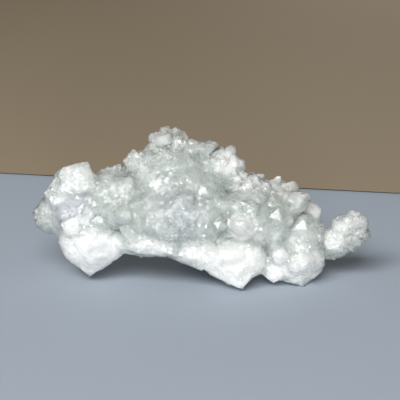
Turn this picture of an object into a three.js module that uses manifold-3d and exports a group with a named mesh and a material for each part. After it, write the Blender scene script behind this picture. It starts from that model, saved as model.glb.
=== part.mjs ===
// A natural apophyllite cluster: one intergrown plate of blocky tetragonal crystals, arched over its
// underside and standing on the tips of its own knobs. Units are millimetres, +Z is up, +X runs along the
// specimen and -Y is its show face. The origin is at the middle of the box around it, on the resting plane.
//
// The plate is built as it grew. Massive, milky knobs come first and run into each other. Each knob then
// carries crystals that are sunk in its skin, and everything is fused into one solid.
import * as THREE from "three";
import { mergeVertices } from "three/addons/utils/BufferGeometryUtils.js";
import Module from "manifold-3d";

const wasm = await Module();
wasm.setup();

// Driving dimensions. Multiples are of a crystal's half-width.
const UNEVEN = 0.14; // how much the faces of one crystal differ in their distance from its middle
const FREE_SHOULDER = 0.12; // how far the prism of a standing crystal runs above the skin, as a multiple
const ROOT_DEPTH = 1.1; // how far its root reaches into the body, as a multiple
const FILLING_HALF = [3.4, 6.4]; // half-widths of the crystals that fill in between the placed ones
const FILLING_CUT = [0.12, 0.42]; // how much of their corners the pyramid cuts off
const FILLING_STEP = 0.6; // their least distance to a neighbour, as a multiple of both half-widths
const FILLING_PROUD = 0.32; // how far their corners stand out of the skin, as a multiple
const FILLING_TRIES = 300; // places tried on each knob
const STRAY = 0.4; // how far a filling crystal's corner strays from straight out of the skin
const DULL = 0.93; // a filling crystal with a face nearer than this to the flash is left out
const COVERED_DEPTH = 0.93; // skin that lies deeper than this in another knob is covered by it
const CLEAVED_BELOW = -0.35; // a skin that faces down more steeply is broken rock, with no crystals
const LOWEST_FILLING = 14; // no filling crystal on the show face stands nearer the resting plane than this
const LOWEST_BEHIND = 3; // and none on the back nearer than this
const BACK = 0.15; // a skin is the back where its normal has at least this much of +Y
const KNOB_DENTS = 0.07; // how much a knob's skin bulges and dents, as a part of its half-extents
const KNOB_SWELL = 0.9; // how far the late growth on a knob stands over its half-extents
const FLOOR_BLOCK = [400, 400, 30]; // the block that trims the feet flat

// Apophyllite's cell is 1.76 times as tall as it is wide. The steep pyramid stands over the prism's corners,
// so each unit outwards along x or y costs this much height.
const AXIAL_RATIO = 1.76;
const PYRAMID_FALL = AXIAL_RATIO / Math.SQRT2;
// The outward normal of the pyramid face over the +x +y corner, in the crystal's own frame.
const PYRAMID_NORMAL = new THREE.Vector3(PYRAMID_FALL, PYRAMID_FALL, 1).normalize();
const UP = new THREE.Vector3(0, 0, 1);
const SEED_WEIGHTS = [100, 1000, 10000]; // turn a place into the seed of its random numbers
const MERGE_DISTANCE = 1e-4; // vertices nearer than this are one vertex
const FLASH = [-0.27, -0.77, 0.58]; // the way the flashing faces look, up and out from the show face

// The knobs that the plate is made of: centre and half-extents. A bare knob has only placed crystals on it.
const KNOBS = {
  peak: { at: [-10.3, 1.7, 35], half: [19, 14, 13.5] },
  crown: { at: [-12.3, 5.7, 48.5], half: [6, 5, 4.5], bare: true },
  shoulder: { at: [4.2, 4.2, 37.5], half: [10.5, 11, 10] },
  ridge: { at: [18.7, 1.2, 29.5], half: [8.5, 10, 7] },
  saddle: { at: [-32.3, -1.8, 29.5], half: [13, 13, 11] },
  crest_left: { at: [-50.3, -1.8, 33.5], half: [8, 8, 7.5] },
  lobe_left: { at: [-58.3, -1.8, 24], half: [4.8, 6, 6.8], bare: true },
  flank_left: { at: [-44.4, -2.6, 23.5], half: [14, 11, 10.5] },
  foot_left: { at: [-43.6, -7.2, 15.2], half: [11, 8.5, 10.6], bare: true },
  middle: { at: [-8.3, -6.8, 26], half: [24, 14.5, 12.5] },
  brow: { at: [-21.3, -10.7, 17.5], half: [15, 8, 5.5], bare: true },
  sill: { at: [-2.3, -11.8, 14.3], half: [10.5, 8, 5.6], bare: true },
  foot_front: { at: [12.7, -12.8, 11], half: [13, 8, 9], bare: true },
  flank_right: { at: [17.7, -5.8, 24], half: [16, 13, 12.5] },
  crest_right: { at: [29.7, -0.8, 27], half: [9.5, 9.5, 7] },
  foot_right: { at: [35.6, -8.5, 10.8], half: [12, 9.5, 11], bare: true },
  arm: { at: [49.2, -4.3, 13], half: [8, 5.2, 5], bare: true },
  arm_tip: { at: [56.9, -4.8, 18], half: [4, 4.4, 4], bare: true },
  back: { at: [0.7, 9.2, 21], half: [25, 12, 13] },
  foot_back: { at: [7.7, 12.2, 6], half: [12, 8, 8] },
  back_left: { at: [-33.3, 5.2, 22], half: [16, 10, 10] },
  back_right: { at: [28.7, 5.2, 17], half: [14, 11, 11] },
};

// The placed crystals, in two ways. A corner crystal is a block sunk in the body with one cut corner out: at
// is the middle of that small face, corner is the way it looks and turn is its turn about that. A standing
// one has its foot at at and its long axis along lean. cut is the share of a half-width that the pyramid
// takes off: 0 is a block and 1 a sharp point. tall is half the length of a corner crystal as a multiple of
// its half-width, and shoulder is how far the prism of a standing one runs above the skin.
const PLACED_CRYSTALS = [
  // Left crest and lobe: white blocks stepping down to a clear end.
  { at: [-47.3, -5.6, 40], half: 5.6, lean: [0.1, -0.75, 0.6], turn: 22, cut: 0.06 },
  { at: [-43.3, -6.5, 40], half: 3, corner: FLASH, turn: 20, cut: 0.45 },
  { at: [-54.8, -2.8, 38.5], half: 3.4, corner: [-0.3, -0.3, 0.9], turn: 30, cut: 0.3 },
  { at: [-54.5, -7.3, 34.2], half: 4.2, lean: [-0.05, -0.6, 0.8], turn: 30, cut: 0.08 },
  { at: [-59.5, -8, 28], half: 3.8, corner: [-0.3, -0.9, 0.35], turn: 60, cut: 0.12, tall: 1.4 },
  { at: [-58.5, -8, 22], half: 3.4, corner: [-0.2, -0.95, 0.1], turn: 10, cut: 0.2 },
  { at: [-61.2, -7, 19.8], half: 3.4, corner: [-0.5, -0.8, -0.2], turn: 30, cut: 0.3 },
  { at: [-64.2, -3.8, 25.5], half: 3.8, corner: [-0.95, -0.3, 0.1], turn: 20, cut: 0.3 },
  { at: [-63.2, -1, 19.2], half: 3.4, corner: [-0.8, 0.1, -0.5], turn: 65, cut: 0.25 },
  // Left flank and saddle: broad grey faces, and a flashing corner under them.
  { at: [-50.5, -10, 34], half: 3.8, corner: [-0.5, -0.7, 0.45], turn: 30, cut: 0.2 },
  { at: [-47.3, -8.5, 28.8], half: 6.2, lean: [0.02, -0.72, 0.7], turn: 18, cut: 0.08 },
  { at: [-36.5, -8.5, 38], half: 6, corner: [0.05, -0.55, 0.85], turn: 38, cut: 0.15 },
  { at: [-28.5, -6.5, 39.5], half: 5.5, corner: [-0.1, -0.5, 0.85], turn: 75, cut: 0.2 },
  { at: [-33.5, 0.5, 42.3], half: 4.8, corner: [0.1, -0.2, 1], turn: 15, cut: 0.3 },
  { at: [-39.3, -0.5, 40.6], half: 4.4, corner: [-0.2, -0.2, 1], turn: 50, cut: 0.35 },
  { at: [-28, 1.5, 42], half: 4, corner: [0.1, -0.1, 1], turn: 80, cut: 0.3 },
  { at: [-38.8, -14.5, 27.5], half: 4.4, corner: FLASH, turn: 170, cut: 0.36 },
  { at: [-49.3, -14.7, 24.3], half: 3.8, corner: [-0.6, -0.75, 0.3], turn: 20, cut: 0.15 },
  { at: [-29.3, -15, 30.5], half: 4.4, corner: [0.35, -0.8, 0.45], turn: 40, cut: 0.35 },
  { at: [-35, -11, 33.8], half: 4.4, corner: [0.15, -0.75, 0.65], turn: 100, cut: 0.2 },
  { at: [-40.2, -12, 32.6], half: 2.2, corner: FLASH, turn: 70, cut: 0.4 },
  // Left foot: a white block that stands on its corner, and what grows on its face.
  { at: [-41.2, -9.6, 13.9], half: 8.6, lean: [0.03, -0.92, 0.39], turn: -48, shoulder: 0, cut: 0.03 },
  { at: [-53, -12, 18], half: 5, corner: [-0.75, -0.6, 0.1], turn: 30, cut: 0.3 },
  { at: [-49, -12.5, 11.3], half: 5, corner: [-0.5, -0.85, 0.1], turn: 70, cut: 0.3 },
  { at: [-44.5, -18.5, 18.5], half: 5.6, corner: [-0.15, -0.9, 0.4], turn: 25, cut: 0.25 },
  { at: [-35.5, -17, 20], half: 6, corner: [0.3, -0.88, 0.4], turn: -35, cut: 0.15 },
  { at: [-41.5, -17, 12.5], half: 5, corner: [-0.05, -0.95, 0.2], turn: 10, cut: 0.2 },
  { at: [-49.2, -15.5, 24.4], half: 3.6, lean: [0.05, -0.85, 0.5], turn: 25, cut: 0.06 },
  { at: [-35.3, -11, 14.4], half: 5.2, lean: [0.15, -0.9, 0.3], turn: -55, shoulder: 0, cut: 0.06 },
  // Brow: a tilted grey face over the white lip that spans the arch.
  { at: [-25.3, -15.8, 24], half: 5, lean: [-0.05, -0.9, 0.5], turn: 25, cut: 0.06 },
  { at: [-18.8, -15.3, 18.8], half: 5.4, lean: [0.1, -0.85, 0.45], turn: -8, cut: 0.04 },
  { at: [-10.3, -16.3, 18.5], half: 4.8, lean: [0.05, -0.8, 0.55], turn: -12, cut: 0.1 },
  { at: [-21.8, -8.8, 13.5], half: 2.8, lean: [0, -0.5, -0.9], turn: 20, cut: 0.5 },
  // Peak: broad corners with a crown of small crystals on top.
  { at: [-15, -6.5, 47.5], half: 7, corner: [-0.1, -0.65, 0.75], turn: 32, cut: 0.12 },
  { at: [-4, -5, 48], half: 6.4, corner: [0.2, -0.5, 0.85], turn: 85, cut: 0.2 },
  { at: [-22, -7.5, 43], half: 5.6, corner: [-0.55, -0.5, 0.7], turn: 35, cut: 0.25 },
  { at: [-11.8, 5.2, 52.8], half: 3, lean: [0.1, -0.15, 1], turn: 20, cut: 0.3 },
  { at: [-15.6, 4.2, 51.8], half: 2.7, lean: [-0.25, -0.3, 0.9], turn: 50, cut: 0.3 },
  { at: [-7.8, 5.2, 50.5], half: 2.7, lean: [0.5, -0.3, 0.8], turn: 10, cut: 0.3 },
  { at: [-14.3, 2.7, 53.2], half: 2, lean: [-0.2, -0.5, 0.9], turn: 65, cut: 0.3 },
  { at: [-9.3, 2.7, 51.5], half: 2.1, lean: [0.3, -0.5, 0.9], turn: 25, cut: 0.5 },
  { at: [-18.8, 3.7, 48], half: 2.2, lean: [-0.6, -0.3, 0.8], turn: 5, cut: 0.4 },
  { at: [-24.3, -0.3, 44], half: 3.2, lean: [-0.6, -0.45, 0.65], turn: 15, cut: 0.5 },
  { at: [-21.3, 1.2, 45.8], half: 3.2, lean: [-0.25, -0.3, 0.9], turn: 40, cut: 0.3 },
  { at: [-28.1, -6.3, 38], half: 1.5, lean: [0.35, -0.35, 0.9], turn: 45, shoulder: 3, cut: 0.5 },
  // Shoulder and ridge: steps down to the right.
  { at: [-3.4, 4.2, 48.4], half: 3.3, lean: [0.15, -0.25, 0.95], turn: 35, cut: 0.25 },
  { at: [6.3, 1.2, 44.8], half: 4.4, lean: [0.05, -0.35, 0.95], turn: 30, cut: 0.2 },
  { at: [1, 4.2, 47.8], half: 3.6, lean: [-0.1, -0.1, 1], turn: 60, cut: 0.3 },
  { at: [9.6, -4.2, 44], half: 4, corner: FLASH, turn: 20, cut: 0.4 },
  { at: [8.5, 7, 46.3], half: 4, corner: [0.2, 0.1, 1], turn: 30, cut: 0.3 },
  { at: [11, 1.2, 42.5], half: 3, lean: [0.5, -0.1, 0.8], turn: 40, cut: 0.4 },
  { at: [19.2, 1.7, 35.5], half: 3.6, lean: [0.2, -0.3, 0.95], turn: 20, cut: 0.25 },
  { at: [17.5, -7, 38.8], half: 3.8, corner: [-0.1, -0.6, 0.8], turn: 50, cut: 0.3 },
  { at: [23.7, 1.7, 33.5], half: 2.8, lean: [0.4, -0.2, 0.9], turn: 5, cut: 0.3 },
  { at: [22.5, -9.5, 36.3], half: 2.8, corner: FLASH, turn: 10, cut: 0.45 },
  // Middle of the show face: corners that point outwards, several of them flashing.
  { at: [-11.5, -12.5, 42], half: 6, corner: [-0.05, -0.7, 0.7], turn: 10, cut: 0.2 },
  { at: [3.5, -11, 41.5], half: 5.6, corner: [0.15, -0.7, 0.7], turn: 70, cut: 0.22 },
  { at: [0.4, -14.3, 38.8], half: 4, corner: FLASH, turn: 65, cut: 0.4 },
  { at: [-1.8, -15, 36], half: 2.4, corner: FLASH, turn: 95, cut: 0.5 },
  { at: [-7.3, -18.6, 36], half: 4.2, corner: [-0.1, -0.85, 0.5], turn: 30, cut: 0.35 },
  { at: [-19.5, -16.5, 36.5], half: 6.4, corner: [0.1, -0.75, 0.65], turn: 60, cut: 0.18 },
  { at: [-8, -21.8, 29.5], half: 5, corner: [0.1, -0.9, 0.45], turn: 85, cut: 0.25 },
  { at: [2.5, -19.5, 32], half: 5.2, corner: [0.05, -0.85, 0.55], turn: 15, cut: 0.22 },
  { at: [13, -17, 33.5], half: 5.6, corner: [0.15, -0.85, 0.55], turn: 42, cut: 0.2 },
  { at: [-12.6, -20.6, 26.6], half: 3, corner: FLASH, turn: 140, cut: 0.35 },
  { at: [-3.5, -20, 24.5], half: 4, corner: [-0.1, -0.9, 0.4], turn: 15, cut: 0.3 },
  { at: [5.9, -20.3, 27.9], half: 2.2, corner: FLASH, turn: 0, cut: 0.45 },
  { at: [10.2, -18.5, 27.4], half: 2.4, corner: FLASH, turn: 60, cut: 0.4 },
  { at: [15.2, -20, 27], half: 4, corner: [0.2, -0.95, 0.3], turn: 45, cut: 0.45, tall: 1.2 },
  // Front foot: a white mass that slopes down from the arch to a blunt point.
  { at: [12.4, -17.8, 11.3], half: 8.6, lean: [0, -0.94, 0.34], turn: -27, shoulder: 0, cut: 0.03 },
  { at: [-2.8, -15.8, 14], half: 5.6, lean: [0, -0.9, 0.45], turn: -27, shoulder: 0, cut: 0.06 },
  { at: [10.7, -19.8, 17], half: 4.8, lean: [0.1, -0.6, 0.8], turn: 12, cut: 0.06 },
  { at: [4, -21.5, 16.5], half: 5, corner: [0.05, -0.9, 0.4], turn: 10, cut: 0.15 },
  { at: [13.5, -23.5, 9.5], half: 5.4, corner: [0, -0.9, 0.1], turn: 50, cut: 0.15 },
  { at: [20, -21, 14], half: 4.6, corner: [0.35, -0.85, 0.35], turn: 80, cut: 0.2 },
  // Right crest: a frilled top, and one crystal that stands out sideways.
  { at: [26.7, 0.2, 33], half: 3.2, lean: [-0.2, -0.25, 0.95], turn: 25, cut: 0.3 },
  { at: [31.7, 0.2, 33], half: 3, lean: [0.2, -0.2, 0.95], turn: 50, cut: 0.2 },
  { at: [35.7, -2.3, 30], half: 3, lean: [0.6, -0.2, 0.7], turn: 10, cut: 0.25 },
  { at: [29.2, -2.8, 33.5], half: 2, lean: [0.1, -0.5, 0.9], turn: 70, cut: 0.3 },
  { at: [34.2, -1.8, 32], half: 2.2, lean: [0.5, -0.4, 0.8], turn: 40, cut: 0.5 },
  { at: [35.7, -9.5, 32], half: 4.2, corner: [0.3, -0.75, 0.5], turn: 35, cut: 0.4 },
  { at: [39.5, -3.5, 27.6], half: 2.1, lean: [0.93, -0.3, -0.3], turn: 5, shoulder: 5.2, cut: 0.35 },
  // Right flank and foot: one large corner with a flash, smaller blocks and round crystals below.
  { at: [27.8, -16.5, 30.1], half: 4.4, corner: FLASH, turn: 35, cut: 0.37 },
  { at: [37.6, -14.6, 24.8], half: 5.4, corner: FLASH, turn: 165, cut: 0.3 },
  { at: [27.5, -18.5, 22.5], half: 5.6, corner: [0, -0.9, 0.45], turn: 20, cut: 0.15 },
  { at: [45, -11.5, 17.5], half: 4.6, corner: [0.7, -0.7, 0.2], turn: 20, cut: 0.2 },
  { at: [21.5, -19.5, 23], half: 4, corner: [0.1, -0.95, 0.3], turn: 55, cut: 0.4 },
  { at: [29.2, -19.2, 15.2], half: 3, corner: [-0.1, -0.8, 0.5], turn: 30, cut: 0.45 },
  { at: [27.7, -15.6, 7.5], half: 4.6, lean: [-0.1, -0.95, 0.2], turn: 42, cut: 0.08 },
  { at: [36.7, -18.3, 10.6], half: 5.2, corner: [0.1, -0.9, 0.3], turn: 25, cut: 0.35 },
  { at: [41.2, -10.3, 9.5], half: 5.4, lean: [0.4, -0.85, 0.2], turn: 45, cut: 0.06 },
  { at: [37.2, -17.2, 2], half: 4.6, corner: [0.1, -0.9, -0.3], turn: 20, cut: 0.3 },
  { at: [44, -13.5, 4], half: 4.2, corner: [0.5, -0.8, -0.2], turn: 65, cut: 0.3 },
  // Arm: a smooth white neck, then a frosted knot of small crystals at the end.
  { at: [49.7, -6.8, 15], half: 3.8, lean: [-0.1, -0.6, 0.8], turn: 20, cut: 0.1 },
  { at: [54.7, -5.8, 21.5], half: 3, lean: [-0.35, -0.45, 0.85], turn: 45, cut: 0.3 },
  { at: [59.2, -5.3, 21.5], half: 3.2, lean: [0.25, -0.5, 0.85], turn: 10, cut: 0.35 },
  { at: [61, -4.8, 18], half: 3, lean: [0.9, -0.4, 0.2], turn: 35, cut: 0.3 },
  { at: [56.7, -8.3, 16], half: 3, lean: [0.2, -0.9, 0.1], turn: 15, cut: 0.4 },
  { at: [54.7, -5.8, 11.8], half: 3, lean: [0.5, -0.6, -0.5], turn: 50, cut: 0.3 },
  { at: [51, -8.5, 8.5], half: 3.4, corner: [0.3, -0.85, -0.3], turn: 15, cut: 0.3 },
  // Back: blocks on the back of the left and right feet and the lobe, and behind the shoulder and the ridge.
  { at: [-41, 4, 12], half: 5, corner: [-0.1, 0.95, -0.2], turn: 30, cut: 0.2 },
  { at: [-49, 2.5, 15], half: 4.6, corner: [-0.6, 0.8, -0.1], turn: 55, cut: 0.3 },
  { at: [38, 2, 6.5], half: 5, corner: [0.2, 0.95, -0.2], turn: 25, cut: 0.25 },
  { at: [46, -2, 8], half: 4.2, corner: [0.75, 0.6, -0.2], turn: 60, cut: 0.3 },
  { at: [-60, 3.5, 30.5], half: 3.8, corner: [-0.5, 0.5, 0.7], turn: 20, cut: 0.3 },
  { at: [-62, 3.5, 23], half: 4, corner: [-0.6, 0.8, -0.1], turn: 50, cut: 0.25 },
  { at: [-56, 6, 25], half: 4.6, corner: [-0.1, 0.95, 0.2], turn: 80, cut: 0.2 },
  { at: [-53.5, 6.5, 33.5], half: 4.2, corner: [-0.2, 0.95, 0.1], turn: 15, cut: 0.25 },
  { at: [-58, 1, 34], half: 3.4, corner: [-0.5, 0.4, 0.7], turn: 60, cut: 0.3 },
  { at: [-54.5, 3.5, 37.5], half: 3.8, corner: [-0.3, 0.4, 0.85], turn: 40, cut: 0.3 },
  { at: [3, 16, 37.5], half: 4.6, corner: [-0.1, 0.9, 0.3], turn: 40, cut: 0.3 },
  { at: [21.5, 11, 30], half: 4.4, corner: [0.1, 1, 0.3], turn: 15, cut: 0.3 },
];

// Random numbers between two bounds (mulberry32), the same ones every time, so that every build grows the
// same specimen.
function randomSource(seed) {
  let state = seed;
  return (low, high) => {
    state = (state + 0x6d2b79f5) | 0;
    let t = Math.imul(state ^ (state >>> 15), 1 | state);
    t = (t + Math.imul(t ^ (t >>> 7), 61 | t)) ^ t;
    return low + (high - low) * (((t ^ (t >>> 14)) >>> 0) / 2 ** 32);
  };
}

// A source of its own for each place, so that what grows there doesn't depend on what grows elsewhere.
const sourceAt = ([x, y, z]) => {
  const [east, north, up] = SEED_WEIGHTS;
  return randomSource(Math.round(east * x + north * y + up * z));
};

// A closed solid of a geometry, with only the positions kept and shared vertices merged.
function solidFrom(geometry) {
  const bare = new THREE.BufferGeometry().setAttribute("position", geometry.getAttribute("position"));
  if (geometry.index) bare.setIndex(geometry.index);
  const merged = mergeVertices(bare, MERGE_DISTANCE);
  return new wasm.Manifold(
    new wasm.Mesh({
      numProp: 3,
      vertProperties: merged.attributes.position.array,
      triVerts: new Uint32Array(merged.index.array),
    }),
  );
}

// A crystal's heights along its own axis: the two ends of its block, and the shoulder that the pyramid starts
// from. facet is the middle of a cut corner's small face.
function crystalMeasures({ half, cut, corner, tall = 1, shoulder = FREE_SHOULDER * half }) {
  const bite = 2 * half * cut;
  const drop = bite * PYRAMID_FALL;
  if (!corner) return { top: shoulder + drop, bottom: -ROOT_DEPTH * half, shoulder };
  const top = tall * half;
  const facet = new THREE.Vector3(half - bite / 3, half - bite / 3, top - drop / 3);
  return { top, bottom: -top, shoulder: top - drop, facet };
}

// One crystal about its own axis: a block whose corners are cut back by the steep pyramid, at its free end
// or, if a corner shows, at both. No two faces grew at quite the same rate, so their distances differ, but
// those of the corner that shows are true.
function crystalForm(spec) {
  const { at, half, corner } = spec;
  const { top, bottom, shoulder } = crystalMeasures(spec);
  const between = sourceAt(at);
  const grown = (distance, isTrue) => (isTrue ? distance : distance * between(1 - UNEVEN, 1 + UNEVEN));
  const tip = shoulder + 2 * PYRAMID_FALL * half;
  const [east, north] = [grown(half, corner), grown(half, corner)];
  const [west, south] = [-grown(half), -grown(half)];
  const block = new THREE.BoxGeometry(east - west, north - south, top - bottom);
  let form = solidFrom(block.translate((east + west) / 2, (north + south) / 2, (top + bottom) / 2));
  for (const end of corner ? [1, -1] : [1]) {
    for (let quarter = 0; quarter < 4; quarter++) {
      const face = PYRAMID_NORMAL.clone().applyAxisAngle(UP, (quarter * Math.PI) / 2);
      const shows = corner && end === 1 && quarter === 0;
      form = form.trimByPlane([-face.x, -face.y, -face.z * end], -grown(tip * face.z, shows));
    }
  }
  return form;
}

// Turns a crystal the way that its corner or its long axis looks, and moves it to its place.
function crystalPose(spec) {
  const { at, corner, lean, turn } = spec;
  const outward = new THREE.Vector3(...(corner ?? lean)).normalize();
  const facing = new THREE.Quaternion().setFromUnitVectors(corner ? PYRAMID_NORMAL : UP, outward);
  facing.premultiply(new THREE.Quaternion().setFromAxisAngle(outward, THREE.MathUtils.degToRad(turn)));
  const place = new THREE.Vector3(...at);
  if (corner) place.sub(crystalMeasures(spec).facet.applyQuaternion(facing));
  return new THREE.Matrix4().compose(place, facing, new THREE.Vector3(1, 1, 1));
}

// A knob is a rough lump, faceted and dented like massive vein mineral.
function knobForm({ at, half }) {
  const between = sourceAt(at);
  const sphere = new THREE.IcosahedronGeometry(1, 1);
  const bare = new THREE.BufferGeometry().setAttribute("position", sphere.getAttribute("position"));
  const lump = mergeVertices(bare, MERGE_DISTANCE);
  const points = lump.getAttribute("position");
  for (let i = 0; i < points.count; i++) {
    const swell = between(1 - KNOB_DENTS, 1 + KNOB_DENTS);
    points.setXYZ(i, points.getX(i) * swell, points.getY(i) * swell, points.getZ(i) * swell);
  }
  lump.rotateX(between(0, Math.PI)).rotateY(between(0, Math.PI)).rotateZ(between(0, Math.PI));
  return solidFrom(lump.scale(...half.map((extent) => extent + KNOB_SWELL)).translate(...at));
}

// A random point on a knob's skin, and the way the skin faces there.
function skinPoint({ at, half }, between) {
  const fromPole = Math.acos(between(-1, 1));
  const out = new THREE.Vector3().setFromSphericalCoords(1, fromPole, between(0, 2 * Math.PI));
  const size = new THREE.Vector3(...half);
  return {
    place: out.clone().multiply(size).add(new THREE.Vector3(...at)),
    normal: out.clone().divide(size).normalize(),
  };
}

// How deep a point lies in a knob: below 1 inside, above 1 outside.
function depthIn({ at, half }, point) {
  return point.clone().sub(new THREE.Vector3(...at)).divide(new THREE.Vector3(...half)).length();
}

// Whether crystals can stand at a point of a knob's skin: off the broken rock, above the resting plane, and
// where no other knob covers it.
function isOpenSkin(body, { place, normal }) {
  const lowest = normal.y > BACK ? LOWEST_BEHIND : LOWEST_FILLING;
  if (body.bare || normal.z < CLEAVED_BELOW || place.z < lowest) return false;
  return Object.values(KNOBS).every((other) => other === body || depthIn(other, place) > COVERED_DEPTH);
}

// Whether a corner crystal's prism, its flat end or its cut corner looks the way that the flashing faces do.
function isFlashing(spec) {
  const flash = new THREE.Vector3(...FLASH).normalize();
  const pose = crystalPose(spec);
  const faces = [0, 1, 2].map((axis) => new THREE.Vector3().setFromMatrixColumn(pose, axis));
  faces.push(new THREE.Vector3(...spec.corner).normalize());
  return faces.some((face) => Math.abs(face.dot(flash)) > DULL);
}

// The crystals that cover the open skin of every knob, one corner of each out and clear of those before it.
function fillingCrystals() {
  const taken = PLACED_CRYSTALS.map(({ at, half }) => ({ place: new THREE.Vector3(...at), half }));
  const found = [];
  for (const body of Object.values(KNOBS)) {
    const between = sourceAt(body.at);
    for (let tried = 0; tried < FILLING_TRIES; tried++) {
      const skin = skinPoint(body, between);
      const half = between(...FILLING_HALF);
      const place = skin.place.clone().addScaledVector(skin.normal, FILLING_PROUD * half);
      const isNear = (other) => other.place.distanceTo(place) < FILLING_STEP * (other.half + half);
      if (taken.some(isNear) || !isOpenSkin(body, skin)) continue;
      const corner = skin.normal.toArray().map((along) => along + between(-STRAY, STRAY));
      const turn = between(0, 360);
      const cut = between(...FILLING_CUT);
      const crystal = { at: place.toArray(), half, corner, turn, cut };
      if (isFlashing(crystal)) continue;
      taken.push({ place, half });
      found.push(crystal);
    }
  }
  return found;
}

const knobs = Object.values(KNOBS).map(knobForm);
const crystals = [...PLACED_CRYSTALS, ...fillingCrystals()].map((spec) => {
  return crystalForm(spec).transform(crystalPose(spec).elements);
});
const floor = solidFrom(new THREE.BoxGeometry(...FLOOR_BLOCK).translate(0, 0, -FLOOR_BLOCK[2] / 2));
const grown = wasm.Manifold.union([...knobs, ...crystals]).subtract(floor);

// Pockets sealed in between the crystals are solid mineral in nature, so only the outer skin is kept.
const skins = grown.decompose();
const whole = skins.reduce((largest, skin) => (skin.volume() > largest.volume() ? skin : largest));

function geometryFrom(solid) {
  const { vertProperties, triVerts } = solid.getMesh();
  const geometry = new THREE.BufferGeometry();
  geometry.setAttribute("position", new THREE.BufferAttribute(vertProperties, 3));
  geometry.setIndex(new THREE.BufferAttribute(triVerts, 1));
  geometry.computeVertexNormals();
  return geometry;
}

const geometry = geometryFrom(whole);
geometry.computeBoundingBox();
const middle = geometry.boundingBox.getCenter(new THREE.Vector3());
geometry.translate(-middle.x, -middle.y, 0);

const crystalCluster = new THREE.Mesh(
  geometry,
  new THREE.MeshStandardMaterial({ color: 0xd3dad6, roughness: 0.2, metalness: 0 }),
);
crystalCluster.name = "crystal_cluster";

const specimen = new THREE.Group();
specimen.add(crystalCluster);
export default specimen;
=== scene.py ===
"""A natural apophyllite cluster on a pale studio floor. Units are metres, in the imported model's frame."""

import math
import random

import bmesh
import bpy
import numpy as np
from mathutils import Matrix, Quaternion, Vector, noise


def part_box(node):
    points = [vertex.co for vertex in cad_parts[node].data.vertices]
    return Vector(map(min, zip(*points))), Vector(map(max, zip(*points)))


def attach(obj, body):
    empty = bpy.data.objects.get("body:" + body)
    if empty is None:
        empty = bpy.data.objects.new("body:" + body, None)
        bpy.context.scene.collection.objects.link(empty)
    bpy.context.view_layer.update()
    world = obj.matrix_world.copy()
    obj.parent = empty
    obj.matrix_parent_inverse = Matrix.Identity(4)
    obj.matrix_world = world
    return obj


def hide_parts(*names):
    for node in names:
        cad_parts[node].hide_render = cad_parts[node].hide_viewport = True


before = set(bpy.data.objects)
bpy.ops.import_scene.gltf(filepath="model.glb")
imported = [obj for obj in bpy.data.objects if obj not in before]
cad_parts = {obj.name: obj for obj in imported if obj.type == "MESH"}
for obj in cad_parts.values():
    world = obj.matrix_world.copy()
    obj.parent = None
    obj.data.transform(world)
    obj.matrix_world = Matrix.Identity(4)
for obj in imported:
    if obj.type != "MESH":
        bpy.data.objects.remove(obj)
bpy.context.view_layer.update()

# --- The plate ------------------------------------------------------------------------------------
# One intergrown plate of apophyllite, glassy and brittle, that grew on the wall of a gas pocket in lava rock.
# Its knobs and its large crystals come from the frame. What grows on it below is fused into it, as in nature.
MM = 0.001
SEAM = 0.0001 * MM  # corners of the faces that lie nearer than this are one corner

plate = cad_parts["crystal_cluster"]
plate_low, plate_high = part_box("crystal_cluster")


def spot(along, across, up):
    """A point in the plate's box: from 0 to 1 along it, from the show face to the back, and upwards."""
    return Vector([a + (b - a) * part for a, b, part in zip(plate_low, plate_high, (along, across, up))])


def sealed_copy(source, name):
    """A copy of a mesh whose faces share their corners, so that it is one closed skin."""
    skin = bmesh.new()
    skin.from_mesh(source.data)
    bmesh.ops.remove_doubles(skin, verts=skin.verts, dist=SEAM)
    mesh = bpy.data.meshes.new(name)
    skin.to_mesh(mesh)
    skin.free()
    copy = bpy.data.objects.new(name, mesh)
    bpy.context.collection.objects.link(copy)
    return copy


cluster = sealed_copy(plate, "apophyllite")

# --- Small crystals of the crown, the crests and the arm ------------------------------------------
# Younger apophyllite, 1 to 4 mm across, that crowds on whatever stood out in the pocket. Each crystal is a
# block with a steep pyramid over its corners, cut off flat. It is rooted in what it grew on and fused to it.
PYRAMID_FALL = 1.76 / math.sqrt(2)  # apophyllite's cell is 1.76 times as tall as it is wide
UNEVEN = 0.16  # how much the faces of one crystal differ in their distance from its middle
KINDS = 20  # different blocks, which the crowds choose from
CUT = (0.15, 0.7)  # how much of its pyramids a block shows: 0 is none, and 1 is all, up to a sharp point
SHOULDER = (0.2, 0.6)  # how high they begin at a block's corners, for a half-width of 1
SEED = 11
growth = random.Random(SEED)


def cut_back(shape, direction, reach):
    """Cuts a closed shape off flat, square to a direction, at a distance from its middle."""
    parts = shape.verts[:] + shape.edges[:] + shape.faces[:]
    cutting = bmesh.ops.bisect_plane(
        shape, geom=parts, plane_co=direction * reach, plane_no=direction, clear_outer=True
    )
    rim = [part for part in cutting["geom_cut"] if isinstance(part, bmesh.types.BMEdge)]
    if rim:
        bmesh.ops.contextual_create(shape, geom=rim)


def corners_and_faces(shape):
    """A finished shape as an array of its corners and a list of its faces, and the shape is thrown away."""
    bmesh.ops.recalc_face_normals(shape, faces=shape.faces)
    shape.verts.index_update()
    corners = np.array([corner.co for corner in shape.verts])
    faces = [[corner.index for corner in face.verts] for face in shape.faces]
    shape.free()
    return corners, faces


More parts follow.
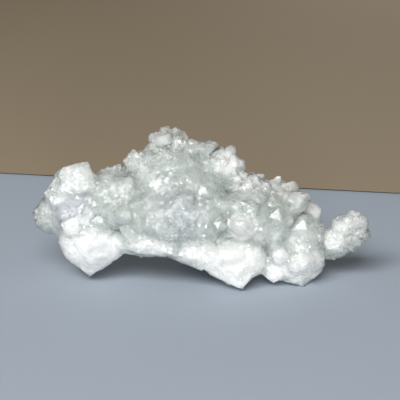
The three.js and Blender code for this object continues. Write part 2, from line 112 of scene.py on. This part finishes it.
def block_crystal(cut, shoulder):
    """A crystal of half-width 1 with a pyramid at both ends. cut and shoulder are as for CUT and SHOULDER."""
    shape = bmesh.new()
    bmesh.ops.create_cube(shape, size=2)
    tip = shoulder + 2 * PYRAMID_FALL
    for corner in shape.verts:
        corner.co.x *= growth.uniform(1 - UNEVEN, 1)
        corner.co.z *= shoulder + 2 * PYRAMID_FALL * cut
    for end in (1, -1):
        for quarter in range(4):
            face = Vector((PYRAMID_FALL, PYRAMID_FALL, 1)).normalized()
            reach = tip * face.z * growth.uniform(1 - UNEVEN, 1 + UNEVEN)
            face.rotate(Quaternion((0, 0, 1), quarter * math.pi / 2))
            cut_back(shape, Vector((face.x, face.y, face.z * end)), reach)
    return corners_and_faces(shape)


BLOCKS = [block_crystal(growth.uniform(*CUT), growth.uniform(*SHOULDER)) for _ in range(KINDS)]


def set_in(form, place, axis, half, turn):
    """A form moved to its place: its long axis along axis and turned about it. half is its half-width."""
    corners, faces = form
    facing = Vector((0, 0, 1)).rotation_difference(axis) @ Quaternion((0, 0, 1), turn)
    moved = corners @ (np.array(facing.to_matrix()).T * half) + np.array(place)
    reach = float(np.linalg.norm(moved - np.array(place), axis=1).max())
    return {"corners": moved, "faces": faces, "place": place, "reach": reach}


def apart(one, other):
    """Whether two crystals can't touch."""
    return (one["place"] - other["place"]).length > one["reach"] + other["reach"]


def fuse(target, crystals):
    """Joins crystals to the target as one solid, in groups in which no crystal touches another."""
    groups = []
    for crystal in crystals:
        for group in groups:
            if all(apart(crystal, other) for other in group):
                group.append(crystal)
                break
        else:
            groups.append([crystal])
    for group in groups:
        faces = []
        first = 0
        for crystal in group:
            faces += [[first + corner for corner in face] for face in crystal["faces"]]
            first += len(crystal["corners"])
        mesh = bpy.data.meshes.new("growth")
        mesh.from_pydata(np.concatenate([crystal["corners"] for crystal in group]).tolist(), [], faces)
        tool = bpy.data.objects.new("growth", mesh)
        bpy.context.collection.objects.link(tool)
        union = target.modifiers.new("fuse", "BOOLEAN")
        union.operation = "UNION"
        union.solver = "MANIFOLD"
        union.object = tool
        seen = target.evaluated_get(bpy.context.evaluated_depsgraph_get())
        grown = bpy.data.meshes.new_from_object(seen)
        target.modifiers.clear()
        before = target.data
        target.data = grown
        bpy.data.meshes.remove(before)
        bpy.data.meshes.remove(mesh)


def skin_places(source, per_square_mm):
    """Random points on a mesh with the way the skin faces there, so many to a square millimetre."""
    places = []
    for face in source.data.polygons:
        wanted = face.area / MM ** 2 * per_square_mm
        corners = [source.data.vertices[corner].co for corner in face.vertices]
        for _ in range(int(wanted) + (growth.random() < wanted % 1)):
            a, b = sorted((growth.random(), growth.random()))
            places.append((corners[0] * a + corners[1] * (b - a) + corners[2] * (1 - b), face.normal.copy()))
    growth.shuffle(places)
    return places


# Where small crystals crowd: the middle of the place, how far it reaches in mm, their half-widths in mm, and
# how deep their middles lie under the skin, as a multiple of the half-width.
CROWDS = [
    (spot(0.41, 0.60, 0.97), 10, (1.0, 2.1), 0.55),  # crown
    (spot(0.31, 0.45, 0.83), 6, (0.9, 1.9), 0.5),  # bump left of the peak
    (spot(0.25, 0.62, 0.78), 7, (0.5, 1.0), 0.6),  # edge of the saddle
    (spot(0.00, 0.42, 0.42), 5, (0.6, 1.2), 0.7),  # left end
    (spot(0.57, 0.52, 0.84), 9, (1.0, 2.0), 0.5),  # shoulder
    (spot(0.65, 0.45, 0.68), 8, (1.0, 2.0), 0.5),  # ridge
    (spot(0.76, 0.52, 0.62), 11, (1.0, 2.2), 0.5),  # right crest
    (spot(0.87, 0.30, 0.32), 5, (0.6, 1.2), 0.7),  # edge of the right flank
    (spot(0.95, 0.38, 0.34), 9, (0.8, 1.8), 0.5),  # end of the arm
    (spot(0.44, 0.15, 0.42), 9, (0.5, 1.2), 0.8),  # over the arch
]
TRIED = 0.5  # places tried to a square millimetre of skin
THINS = 0.5  # from this part of its reach outwards a crowd grows thinner
LEAN = 0.9  # how far their axes stray from straight out of the skin
CROWDED = 1.0  # their least distance, as a multiple of both half-widths

crowd = []
for place, normal in skin_places(cluster, TRIED):
    for middle, reach, halves, sunk in CROWDS:
        if (place - middle).length > reach * MM * growth.uniform(THINS, 1):
            continue
        half = growth.uniform(*halves) * MM
        if any((place - other["place"]).length < CROWDED * (half + other["half"]) for other in crowd):
            continue
        axis = (normal + Vector([growth.uniform(-LEAN, LEAN) for _ in range(3)])).normalized()
        root = place - normal * (sunk * half)
        crystal = set_in(growth.choice(BLOCKS), root, axis, half, growth.uniform(0, math.tau))
        crowd.append(crystal | {"half": half})
        break
fuse(cluster, crowd)

# --- Round crystals on the show face --------------------------------------------------------------
# Late apophyllite crystals, with so many small faces that they look round. Some are partly clear, and others
# are white with frost. Each is rooted in the skin and fused to it, like the small ones.
ROUND_CUTS = 22  # small faces that make a block crystal round
ROUND_REACH = (0.93, 1.04)  # how far out those faces lie, for a half-width of 1


def round_crystal():
    """A crystal of half-width 1 that many small faces have made almost round."""
    shape = bmesh.new()
    bmesh.ops.create_cube(shape, size=2)
    for _ in range(ROUND_CUTS):
        out = Vector([growth.gauss(0, 1) for _ in range(3)]).normalized()
        cut_back(shape, out, growth.uniform(*ROUND_REACH))
    return corners_and_faces(shape)


# Each: where its middle is, its half-width in mm, and how clear it is from 0 to 1.
ROUND_CRYSTALS = [
    (spot(0.617, 0.125, 0.47), 3.6, 0.3),  # over the front foot
    (spot(0.731, 0.120, 0.26), 2.5, 0.1),  # frosted ball between the feet
    (spot(0.790, 0.195, 0.19), 4.8, 0.2),  # on the right foot
    (spot(0.278, 0.195, 0.53), 3.3, 0.2),  # over the left foot
    (spot(0.450, 0.175, 0.63), 3.2, 0.3),  # middle
    (spot(0.781, 0.350, 0.56), 4.2, 0.3),  # under the right crest
]
balls = []
for middle, half, clear in ROUND_CRYSTALS:
    out = Vector([growth.gauss(0, 1) for _ in range(3)]).normalized()
    balls.append(set_in(round_crystal(), middle, out, half * MM, 0.0))
fuse(cluster, balls)

# --- Sugar in the notches -------------------------------------------------------------------------
# Sugar of the same mineral, grains of about 1 mm that lodged wherever two crystals meet. It lies in drifts,
# thick in some places and missing in others. The grains are fused to both crystals.
GRAIN = (0.3, 0.75)  # half-widths in mm
GRAIN_LEAN = 0.8  # how far their axes stray
GRAIN_APART = 0.9  # their least distance, as a multiple of both half-widths
GRAIN_STEP = 1.3 * MM  # there is about one grain to this length of notch
NOTCH = 0.5  # radians between two faces that make a notch
NOTCHES_BARE = 0.3  # the part of the notches that caught none
CLEAN_BELOW = 2 * MM  # none lodge near the floor
DRIFT = 9 * MM  # the size of the drifts
DRIFTED = 0.35  # raises the part of the notches that lies in drifts

grains = []
skin = bmesh.new()
skin.from_mesh(cluster.data)
for edge in skin.edges:
    if not edge.is_manifold or edge.is_convex or edge.calc_face_angle(0) < NOTCH:
        continue
    middle = (edge.verts[0].co + edge.verts[1].co) / 2
    drift = noise.noise(middle / DRIFT) + DRIFTED
    if middle.z < CLEAN_BELOW or growth.random() < NOTCHES_BARE:
        continue
    for _ in range(round(edge.calc_length() / GRAIN_STEP + growth.random())):
        if growth.random() > drift:
            continue
        place = edge.verts[0].co.lerp(edge.verts[1].co, growth.random())
        half = growth.uniform(*GRAIN) * MM
        if any((place - other["place"]).length < GRAIN_APART * (half + other["half"]) for other in grains):
            continue
        out = (edge.link_faces[0].normal + edge.link_faces[1].normal).normalized()
        stray = Vector([growth.uniform(-GRAIN_LEAN, GRAIN_LEAN) for _ in range(3)])
        turn = growth.uniform(0, math.tau)
        grain = set_in(growth.choice(BLOCKS), place, (out + stray).normalized(), half, turn)
        grains.append(grain | {"half": half})
skin.free()
fuse(cluster, grains)

# --- Skin -----------------------------------------------------------------------------------------
# The crystals have grown into each other, and milky mineral fills the corners between them. Little of their
# relief is left in the middle of the plate, where a few clean faces still stand out and catch the light.
FINEST = 1.3 * MM  # the skin is divided until no edge is longer than this
DIVISIONS = 6  # rounds of dividing, at most
PULL = 0.7  # how far a corner moves to the middle of its neighbours in one round of evening
WIDE = 60  # rounds of evening that level whole crystals
NARROW = 6  # rounds of evening that level only edges and grains
SOFT = 0.35  # how soft the edge of a zone is, as a part of its reach
STANDS = 2 * MM  # the feet keep their own shape below this height
SHARP = 0.35  # radians between two faces that still look like two
# How much is left of the crystals' relief, and of their edges and grains.
ANYWHERE = (0.4, 0.7)
CROWDED_PLACES = (0.85, 1)
# The zones that differ: the middle of the place, how far it reaches in mm, and the same two parts.
ZONES = [
    (spot(0.43, 0.25, 0.70), (20, 12, 14), (0.12, 0.28)),  # peak
    (spot(0.25, 0.42, 0.68), (8, 9, 6), (0.15, 0.35)),  # saddle
    (spot(0.14, 0.30, 0.56), (8, 8, 6), (0.2, 0.3)),  # left flank
    (spot(0.06, 0.36, 0.42), (6, 8, 8), (0.3, 0.5)),  # left lobe
    (spot(0.17, 0.22, 0.27), (13, 12, 11), (0.4, 0.6)),  # left foot
    (spot(0.45, 0.16, 0.42), (12, 9, 8), (0.3, 0.6)),  # over the arch
    (spot(0.56, 0.14, 0.20), (16, 10, 9), (0.4, 0.7)),  # front foot
    (spot(0.66, 0.20, 0.42), (12, 9, 9), (0.3, 0.6)),  # over the front foot
    (spot(0.78, 0.20, 0.33), (12, 9, 11), (0.2, 0.35)),  # right flank
    (spot(0.79, 0.20, 0.12), (10, 9, 6), (0.4, 0.6)),  # right foot
    (spot(0.89, 0.36, 0.30), (5, 6, 5), (0.3, 0.5)),  # neck of the arm
    (spot(0.50, 0.95, 0.40), (50, 12, 20), (0.75, 0.9)),  # back
    (spot(0.11, 0.46, 0.74), (8, 8, 7), (0.95, 1)),  # top left block
]
# The clean faces: the middle of each, and how far it reaches in mm.
CLEAN_FACES = [
    (spot(0.503, 0.20, 0.69), 4),  # under the peak
    (spot(0.200, 0.20, 0.49), 3),  # over the left foot
    (spot(0.715, 0.16, 0.54), 4),  # over the right flank, left of the other
    (spot(0.791, 0.20, 0.445), 4),  # over the right flank
    (spot(0.403, 0.08, 0.475), 3),  # over the arch
    (spot(0.546, 0.08, 0.50), 2.5),  # beside the round crystal over the front foot
    (spot(0.579, 0.12, 0.49), 2.5),  # beside the round crystal over the front foot
    (spot(0.486, 0.19, 0.645), 2.5),  # under the peak, the small one
    (spot(0.190, 0.25, 0.585), 2.5),  # left flank
]


def patch(points, middle, reaches, soft):
    """How far each point lies in a patch: 1 inside, 0 outside, soft at the edge. Reaches are in mm."""
    away = np.linalg.norm((points - np.array(middle)) / (np.array(reaches) * MM), axis=1)
    return np.clip((1 + soft - away) / (2 * soft), 0, 1)


def divided(source):
    """A mesh's skin, cut into small triangles."""
    skin = bmesh.new()
    skin.from_mesh(source.data)
    bmesh.ops.remove_doubles(skin, verts=skin.verts, dist=SEAM)
    bmesh.ops.triangulate(skin, faces=skin.faces)
    for _ in range(DIVISIONS):
        long_edges = [edge for edge in skin.edges if edge.calc_length() > FINEST]
        if not long_edges:
            break
        bmesh.ops.subdivide_edges(skin, edges=long_edges, cuts=1)
        bmesh.ops.triangulate(skin, faces=[face for face in skin.faces if len(face.verts) > 3])
    return skin


def evened(places, ends, rounds):
    """Where the corners of a skin go when each moves towards the middle of its neighbours, in rounds."""
    neighbours = np.bincount(ends.ravel(), minlength=len(places))
    places = places.copy()
    for _ in range(rounds):
        for axis in range(3):
            one_way = np.bincount(ends[:, 0], places[ends[:, 1], axis], len(places))
            other_way = np.bincount(ends[:, 1], places[ends[:, 0], axis], len(places))
            places[:, axis] += PULL * ((one_way + other_way) / neighbours - places[:, axis])
    return places


skin = divided(cluster)
corners = np.array([corner.co for corner in skin.verts])
ends = np.array([[corner.index for corner in edge.verts] for edge in skin.edges])
level = evened(corners, ends, WIDE)
level += evened(corners - level, ends, WIDE)
without_edges = evened(corners, ends, NARROW)
zones = [(middle, (reach,) * 3, CROWDED_PLACES) for middle, reach, _, _ in CROWDS]
zones += ZONES
zones += [(middle, (reach,) * 3, (1, 1)) for middle, reach in CLEAN_FACES]
left = np.tile(np.array(ANYWHERE, float), (len(corners), 1))
for middle, reaches, parts in zones:
    left += (np.array(parts) - left) * patch(corners, middle, reaches, SOFT)[:, None]
left = np.maximum(left, np.clip(1 - corners[:, 2:] / STANDS, 0, 1))
corners = level + (without_edges - level) * left[:, :1] + (corners - without_edges) * left[:, 1:]
corners[:, 2] = np.maximum(corners[:, 2], plate_low[2])
for corner, place in zip(skin.verts, corners):
    corner.co = place
skin.normal_update()
for edge in skin.edges:
    edge.smooth = not (edge.is_manifold and edge.calc_face_angle(0) > SHARP)
for face in skin.faces:
    face.smooth = True
skin.to_mesh(cluster.data)
skin.free()

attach(cluster, "root")
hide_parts("crystal_cluster")

# --- Milk, colour and grey undersides -------------------------------------------------------------
# The mineral is clear to milky. Tiny bubbles make the feet and the outer blocks white, and a trace of
# impurity makes some of it lilac or straw. Low under the arm and low under the arch its colour is drawn
# towards a plain grey.
# Each white zone: the middle of the place, how far it reaches in mm, and how white it is from 0 to 1.
WHITE = [
    (spot(0.115, 0.46, 0.71), (10, 9, 7), 0.25),  # top left block
    (spot(0.07, 0.33, 0.64), (5, 5, 5), 0.3),  # the block under it
    (spot(0.25, 0.42, 0.70), (8, 9, 6), 0.1),  # saddle
    (spot(0.17, 0.22, 0.22), (15, 12, 11), 1.0),  # left foot
    (spot(0.14, 0.17, 0.44), (4.5, 5, 4.5), 0.8),  # over the left foot
    (spot(0.36, 0.13, 0.33), (10, 6, 4), 0.7),  # lip of the arch
    (spot(0.50, 0.13, 0.27), (9, 6, 6), 0.8),  # from the arch to the front foot
    (spot(0.59, 0.12, 0.18), (14, 10, 9), 1.0),  # front foot
    (spot(0.41, 0.60, 0.97), (11, 11, 8), 0.35),  # crown
    (spot(0.31, 0.45, 0.83), (6, 6, 6), 0.4),  # bump left of the peak
    (spot(0.577, 0.50, 0.80), (7, 6, 5), 0.9),  # shoulder
    (spot(0.65, 0.42, 0.68), (7, 5, 5), 0.7),  # ridge
    (spot(0.617, 0.125, 0.47), (5, 5, 5), 0.75),  # round crystal over the front foot
    (spot(0.731, 0.14, 0.24), (3, 3, 3), 1.0),  # frosted ball between the feet
    (spot(0.72, 0.20, 0.10), (5, 5, 5), 1.0),  # between the feet
    (spot(0.80, 0.20, 0.14), (11, 8, 7), 1.0),  # right foot
    (spot(0.76, 0.20, 0.38), (14, 9, 9), 0.24),  # right flank
    (spot(0.76, 0.52, 0.62), (13, 9, 7), 0.55),  # right crest
    (spot(0.835, 0.43, 0.48), (5, 4, 4), 0.8),  # crystal that sticks out over the arm
    (spot(0.89, 0.37, 0.31), (5, 6, 6), 1.0),  # neck of the arm
    (spot(0.94, 0.38, 0.40), (8, 7, 6), 0.45),  # end of the arm
]
LILAC = [(spot(0.43, 0.20, 0.45), (9, 7, 11)), (spot(0.12, 0.30, 0.52), (8, 7, 7))]
STRAW = [(spot(0.78, 0.50, 0.55), (7, 8, 7)), (spot(0.415, 0.66, 0.93), (8, 6, 5))]
# Where the colour is drawn towards a plain grey: low under the arm, and low under the arch.
GREY_UNDERSIDES = [(spot(0.84, 0.45, 0.08), (16, 9, 5)), (spot(0.47, 0.18, 0.16), (5, 6, 4))]
WHITE_SOFT = 0.22  # how soft the edges of the white are, and those of the tints, as a part of their reach
TINT_SOFT = 0.6
CLOUD = 7 * MM  # the size of the clouds that blur the edges of the white
CLOUDY = (0.45, 0.12)  # how much they change it, at its edges and everywhere
CLOUD_DETAIL = (1.0, 2.0, 3)  # how they are made: roughness, step in scale, and number of steps
CLEAR_REACH = 1.3  # a round crystal's clearness reaches this multiple of its half-width

points = np.array([corner.co for corner in cluster.data.vertices])
cloud = np.array([noise.fractal(Vector(point) / CLOUD, *CLOUD_DETAIL) for point in points])
white = np.zeros(len(points))
for middle, reaches, amount in WHITE:
    white = np.maximum(white, amount * patch(points, middle, reaches, WHITE_SOFT))
at_edge = 1 - np.abs(2 * white - 1)
white = np.clip(white + cloud * (CLOUDY[0] * at_edge + CLOUDY[1]), 0, 1)
clear = np.zeros(len(points))
for middle, half, amount in ROUND_CRYSTALS:
    near = np.linalg.norm(points - np.array(middle), axis=1) < CLEAR_REACH * half * MM
    clear[near] = amount
amounts = {"white": white, "clear": clear}
for name, places in (("lilac", LILAC), ("straw", STRAW), ("grey_underside", GREY_UNDERSIDES)):
    amounts[name] = np.max([patch(points, *place, TINT_SOFT) for place in places], axis=0)
for name, values in amounts.items():
    layer = cluster.data.attributes.new(name, "FLOAT", "POINT")
    layer.data.foreach_set("value", values.astype(np.float32))

# --- Crystal --------------------------------------------------------------------------------------
# The finish of the mineral: glassy to frosted faces over a milky inside that light wanders through, a little
# see-through where it isn't white. Tiny growth faces cover it in a mosaic.
REFRACTION = 1.535  # of apophyllite
PALE = (0.535, 0.58, 0.55)  # the mineral where it is neither white nor tinted
PALE_LILAC = (0.575, 0.59, 0.645)
PALE_STRAW = (0.64, 0.62, 0.50)
VEIL = (0.67, 0.71, 0.69)  # thin milk, in spots
VEILED = 0.3  # how much of it there is at most
VEILS_TO_A_METRE = 330
MILK = (0.90, 0.905, 0.88)
# The plain grey that the skin takes low under the arm and under the arch.
UNDERSIDE_GREY = (0.55, 0.58, 0.54)
BRIGHT_FACE = (0.85, 0.89, 0.86)
DIM_FACE = (0.40, 0.45, 0.43)
FACE_TINT = 0.16  # how much of their colour the brightest and the dimmest face take, at most
FACES_TO_A_METRE = (300, 850)  # the bright large faces, and the dim small ones
RELIEF_TO_A_METRE = (280, 800)  # the large and the small faces that tilt
FACE_LEAN = (0.35, 0.6)  # how steeply they tilt
MIDDLE = (0.5, 0.5, 0.5)  # of the random colours, each from 0 to 1, that tell how a face tilts
SPOTS = (0.35, 0.65)  # the span in which soft spots lie
WHOLE = (0, 1)
SEE_THROUGH = (0.18, 0.34)  # how much light goes straight through, in its spots
SEE_THROUGH_TO_A_METRE = 240
MILK_LETS_THROUGH = 0.2  # the part of it that is left in the milk
CLEAR_LETS_THROUGH = 0.95  # for a clearness of 1
ROUGH = (0.14, 0.42)  # from the glassy spots to the dull ones
GLAZE = (0.6, 0.05)  # how much of the sharp sheen they have
DULL_SPOTS_TO_A_METRE = 160
ROUGH_MILK = 0.32  # the least roughness of milk
ROUGH_CLEAR = 0.2  # the part of the roughness that is left for a clearness of 1
SHEEN_ROUGH = 0.06
WANDER = 10 * MM  # how far light wanders inside
STAIN = (0.80, 0.88, 0.84)  # what the absorption leaves of the light
STAIN_DENSITY = 10  # to a metre

crystal = bpy.data.materials.new("crystal")
crystal.use_nodes = True
nodes = crystal.node_tree.nodes
links = crystal.node_tree.links
shader = nodes["Principled BSDF"]
where = nodes.new("ShaderNodeTexCoord").outputs["Object"]


def measure(name):
    """The amount of a tint at each point of the skin."""
    node = nodes.new("ShaderNodeAttribute")
    node.attribute_name = name
    return node.outputs["Fac"]


def tinted(amount, under, over):
    """A colour that goes from under to over by an amount."""
    node = nodes.new("ShaderNodeMix")
    node.data_type = "RGBA"
    links.new(amount, node.inputs[0])
    for socket, colour in ((node.inputs[6], under), (node.inputs[7], over)):
        if isinstance(colour, tuple):
            socket.default_value = (*colour, 1)
        else:
            links.new(colour, socket)
    return node.outputs[2]


def scaled(value, span, low, high):
    """A value carried from one span to go from low to high."""
    node = nodes.new("ShaderNodeMapRange")
    links.new(value, node.inputs[0])
    for index, limit in enumerate((*span, low, high)):
        node.inputs[index + 1].default_value = limit
    return node.outputs[0]


def combined(kind, first, second):
    """Two values put together by one step of arithmetic."""
    node = nodes.new("ShaderNodeMath")
    node.operation = kind
    for index, value in enumerate((first, second)):
        if isinstance(value, (int, float)):
            node.inputs[index].default_value = value
        else:
            links.new(value, node.inputs[index])
    return node.outputs[0]


def mottle(scale):
    """Soft random spots; scale is how many there are to a metre."""
    node = nodes.new("ShaderNodeTexNoise")
    node.inputs["Scale"].default_value = scale
    links.new(where, node.inputs["Vector"])
    return node.outputs["Fac"]


def mosaic(scale):
    """A mosaic of small faces; scale is how many there are to a metre."""
    node = nodes.new("ShaderNodeTexVoronoi")
    node.inputs["Scale"].default_value = scale
    links.new(where, node.inputs["Vector"])
    return node


def face_amounts(scale):
    """An amount for each small face of a mosaic."""
    channels = nodes.new("ShaderNodeSeparateColor")
    links.new(mosaic(scale).outputs["Color"], channels.inputs[0])
    return channels.outputs[0]


def between(kind, first, second):
    """Two vectors put together by one step of arithmetic."""
    node = nodes.new("ShaderNodeVectorMath")
    node.operation = kind
    for index, vector in enumerate((first, second)):
        if isinstance(vector, tuple):
            node.inputs[index].default_value = vector
        else:
            links.new(vector, node.inputs[index])
    return node.outputs


def face_heights(scale, lean):
    """The height of the skin over a mosaic of small flat faces that each tilt their own way."""
    face = mosaic(scale)
    from_middle = between("SUBTRACT", where, face.outputs["Position"])[0]
    tilt = between("SUBTRACT", face.outputs["Color"], MIDDLE)[0]
    return combined("MULTIPLY", between("DOT_PRODUCT", from_middle, tilt)["Value"], lean)


colour = tinted(measure("lilac"), PALE, PALE_LILAC)
colour = tinted(measure("straw"), colour, PALE_STRAW)
colour = tinted(scaled(mottle(VEILS_TO_A_METRE), SPOTS, 0, VEILED), colour, VEIL)
colour = tinted(measure("white"), colour, MILK)
for many, face_colour in zip(FACES_TO_A_METRE, (BRIGHT_FACE, DIM_FACE)):
    colour = tinted(scaled(face_amounts(many), WHOLE, 0, FACE_TINT), colour, face_colour)
# Low under the arm and under the arch the colour goes greyer, towards the plain grey.
colour = tinted(measure("grey_underside"), colour, UNDERSIDE_GREY)
links.new(colour, shader.inputs["Base Color"])
see_through = scaled(mottle(SEE_THROUGH_TO_A_METRE), SPOTS, *SEE_THROUGH)
see_through = combined("MULTIPLY", see_through, scaled(measure("white"), WHOLE, 1, MILK_LETS_THROUGH))
see_through = combined("MAXIMUM", see_through, scaled(measure("clear"), WHOLE, 0, CLEAR_LETS_THROUGH))
links.new(see_through, shader.inputs["Transmission Weight"])
dullness = mottle(DULL_SPOTS_TO_A_METRE)
rough = combined("MAXIMUM", scaled(dullness, SPOTS, *ROUGH), scaled(measure("white"), WHOLE, 0, ROUGH_MILK))
rough = combined("MULTIPLY", rough, scaled(measure("clear"), WHOLE, 1, ROUGH_CLEAR))
links.new(rough, shader.inputs["Roughness"])
shader.inputs["IOR"].default_value = REFRACTION
shader.inputs["Subsurface Weight"].default_value = 1.0
shader.inputs["Subsurface Radius"].default_value = (1.0, 1.0, 1.0)
shader.inputs["Subsurface Scale"].default_value = WANDER
links.new(scaled(dullness, SPOTS, *GLAZE), shader.inputs["Coat Weight"])
shader.inputs["Coat Roughness"].default_value = SHEEN_ROUGH
shader.inputs["Coat IOR"].default_value = REFRACTION
absorption = nodes.new("ShaderNodeVolumeAbsorption")
absorption.inputs["Color"].default_value = (*STAIN, 1)
absorption.inputs["Density"].default_value = STAIN_DENSITY
links.new(absorption.outputs["Volume"], nodes["Material Output"].inputs["Volume"])
relief = nodes.new("ShaderNodeBump")
relief.inputs["Strength"].default_value = 1.0
relief.inputs["Distance"].default_value = 1.0
large, small = [face_heights(*face) for face in zip(RELIEF_TO_A_METRE, FACE_LEAN)]
links.new(combined("ADD", large, small), relief.inputs["Height"])
links.new(relief.outputs["Normal"], shader.inputs["Normal"])
cluster.data.materials.clear()
cluster.data.materials.append(crystal)

# --- Floor and backdrop ---------------------------------------------------------------------------
# A pale blue-grey table, and a taupe sheet that lies over its back and rises behind it, a little askew. Both
# are plain and dull. They belong to the studio and not to the part.
FLOOR = (0.37, 0.42, 0.485)
TAUPE = (0.33, 0.265, 0.185)
DULL = 0.8  # their roughness
GLOSS = 0.15  # their gloss, where 0.5 is usual
HALF_WIDE = 3
ASKEW = -8  # degrees
# The (y, z) points that each runs through. The taupe sheet lies just over the table, and then it rises.
TABLE = [(-3, 0), (3, 0)]
SHEET = [(0.092, 0.0006), (0.9, 0.0006), (1.2, 0.1), (1.3, 0.4), (1.3, 2)]


def plain_sheet(name, rows, colour):
    """A wide sheet that runs through a row of (y, z) points, with a plain dull finish."""
    corners = []
    faces = []
    for y, z in rows:
        corners += [(-HALF_WIDE, y, z), (HALF_WIDE, y, z)]
    for row in range(len(rows) - 1):
        faces.append((2 * row, 2 * row + 1, 2 * row + 3, 2 * row + 2))
    mesh = bpy.data.meshes.new(name)
    mesh.from_pydata(corners, [], faces)
    finish = bpy.data.materials.new(name)
    finish.use_nodes = True
    surface = finish.node_tree.nodes["Principled BSDF"]
    surface.inputs["Base Color"].default_value = (*colour, 1)
    surface.inputs["Roughness"].default_value = DULL
    surface.inputs["Specular IOR Level"].default_value = GLOSS
    mesh.materials.append(finish)
    sheet = bpy.data.objects.new(name, mesh)
    bpy.context.collection.objects.link(sheet)
    return sheet


plain_sheet("floor", TABLE, FLOOR)
backdrop = plain_sheet("backdrop", SHEET, TAUPE)
backdrop.rotation_euler.z = math.radians(ASKEW)

# --- Light ----------------------------------------------------------------------------------------
# Soft boxes: a key over the left shoulder of the viewer, which the clean faces mirror, and a broad one over
# the viewer. One low in front fills the undercut feet, and one low behind the back. The room adds little.
ROOM = (0.95, 0.88, 0.78)
ROOM_STRENGTH = 0.035
LIT = Vector((0, 0, 0.03))  # what all of them point at
# Each: where it is, its side in metres, and its power in watts.
SOFTBOXES = {
    "key": ((-0.55, -0.55, 0.8), 0.35, 5),
    "top": ((-0.16, -0.75, 0.9), 0.65, 8.6),
    "front": ((0.1, -1.2, 0.13), 0.24, 8.4),
    "back": ((0.3, 0.8, 0.25), 0.5, 1.2),
}

room = bpy.data.worlds.new("studio")
bpy.context.scene.world = room
room.use_nodes = True
room.node_tree.nodes["Background"].inputs["Color"].default_value = (*ROOM, 1)
room.node_tree.nodes["Background"].inputs["Strength"].default_value = ROOM_STRENGTH
for name, (place, side, power) in SOFTBOXES.items():
    lamp = bpy.data.lights.new(name, "AREA")
    lamp.shape = "SQUARE"
    lamp.size = side
    lamp.energy = power
    holder = bpy.data.objects.new(name, lamp)
    holder.location = place
    holder.rotation_euler = (LIT - Vector(place)).to_track_quat("-Z", "Y").to_euler()
    bpy.context.collection.objects.link(holder)

# --- Camera ---------------------------------------------------------------------------------------
# A long lens, square to the show face, that looks down on it a little. The whole cluster is sharp, and the
# colours are shown as they are.
LOOK_AT = Vector((-0.0005, 0, 0.0295))  # about the middle of the cluster
AWAY = 0.45  # metres from there
DOWN = math.radians(22)  # how steeply it looks down
FOCAL_LENGTH = 105  # in mm, like the next
FRAME_WIDTH = 36

lens = bpy.data.cameras.new("camera")
lens.lens = FOCAL_LENGTH
lens.sensor_width = FRAME_WIDTH
camera = bpy.data.objects.new("camera", lens)
camera.location = LOOK_AT + AWAY * Vector((0, -math.cos(DOWN), math.sin(DOWN)))
camera.rotation_euler = (LOOK_AT - camera.location).to_track_quat("-Z", "Y").to_euler()
bpy.context.collection.objects.link(camera)
bpy.context.scene.camera = camera
bpy.context.scene.view_settings.view_transform = "Standard"
